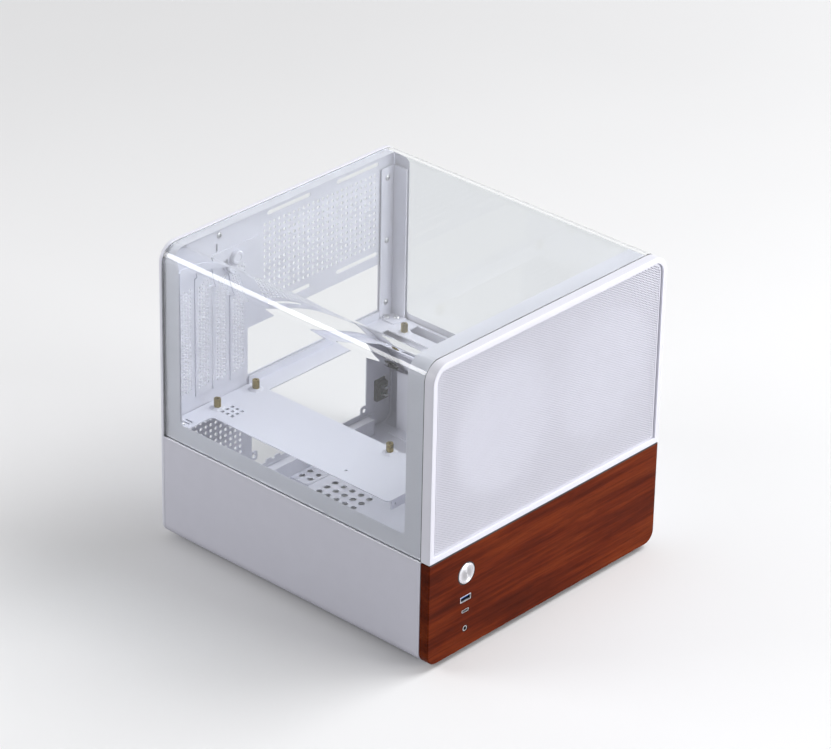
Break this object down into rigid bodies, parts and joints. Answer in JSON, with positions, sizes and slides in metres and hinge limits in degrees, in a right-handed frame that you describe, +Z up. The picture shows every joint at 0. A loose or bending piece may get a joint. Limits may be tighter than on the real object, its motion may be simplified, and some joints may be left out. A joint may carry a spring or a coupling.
{
  "type": "cube pc case",
  "caption": "Cube-shaped computer case with bent glass cover, meshed front over a wooden panel, and an open board tray inside.",
  "frame": {"origin": "centre of the footprint at the level of the feet's undersides", "axes": "+X to the right seen from the front, +Y to the rear, +Z up; the mesh and wood face -Y"},
  "size_m": [0.282, 0.3048, 0.277],
  "materials": {
    "white_steel": "fine white powder coat",
    "side_paint": "fine white powder coat",
    "clear_glass": "clear polished, white printed border inside",
    "walnut": "satin oiled, straight grain",
    "turned_metal": "turned and brushed",
    "black_plastic": "matte",
    "blue_plastic": "gloss",
    "port_steel": "satin",
    "screw_steel": "bright",
    "brass": "satin",
    "foot_rubber": "matte",
    "board_black": "satin"
  },
  "bodies": {
    "case": {"rear_panel": "white_steel", "slot_retainer": "white_steel", "slot_thumbscrew": "white_steel", "power_socket": "black_plastic", "power_socket_pins": "port_steel", "motherboard_tray": "white_steel", "board_standoffs": "brass", "floor_plate": "white_steel", "left_side_frame": "white_steel", "right_side_frame": "white_steel", "left_rear_post": "white_steel", "right_rear_post": "white_steel", "chassis_screws": "screw_steel", "psu_front_rail": "white_steel", "psu_rear_rail": "white_steel", "rubber_feet": "foot_rubber", "left_lower_panel": "side_paint", "right_lower_panel": "side_paint", "front_frame": "white_steel", "front_mesh": "white_steel", "wood_panel": "walnut", "button_sleeve": "black_plastic", "power_switch": "black_plastic", "usb_a_shell": "port_steel", "usb_a_tongue": "blue_plastic", "usb_c_port": "port_steel", "audio_jack": "black_plastic", "front_port_board": "board_black", "port_board_screws": "screw_steel", "front_chassis": "white_steel", "slot_cover_1": "white_steel", "slot_cover_2": "white_steel", "slot_cover_3": "white_steel", "slot_cover_4": "white_steel"},
    "power_button": {"power_button": "turned_metal"},
    "glass_cover": {"glass_cover": "clear_glass"}
  },
  "joints": [
    {"name": "power_button_press", "type": "slide", "parent": "case", "child": "power_button", "axis": [0, 1, 0], "range_m": [0, 0.0012], "stiffness_N_per_m": 350},
    {"name": "glass_cover_lift", "type": "slide", "parent": "case", "child": "glass_cover", "axis": [0, 0, 1], "range_m": [0, 0.185]}
  ]
}
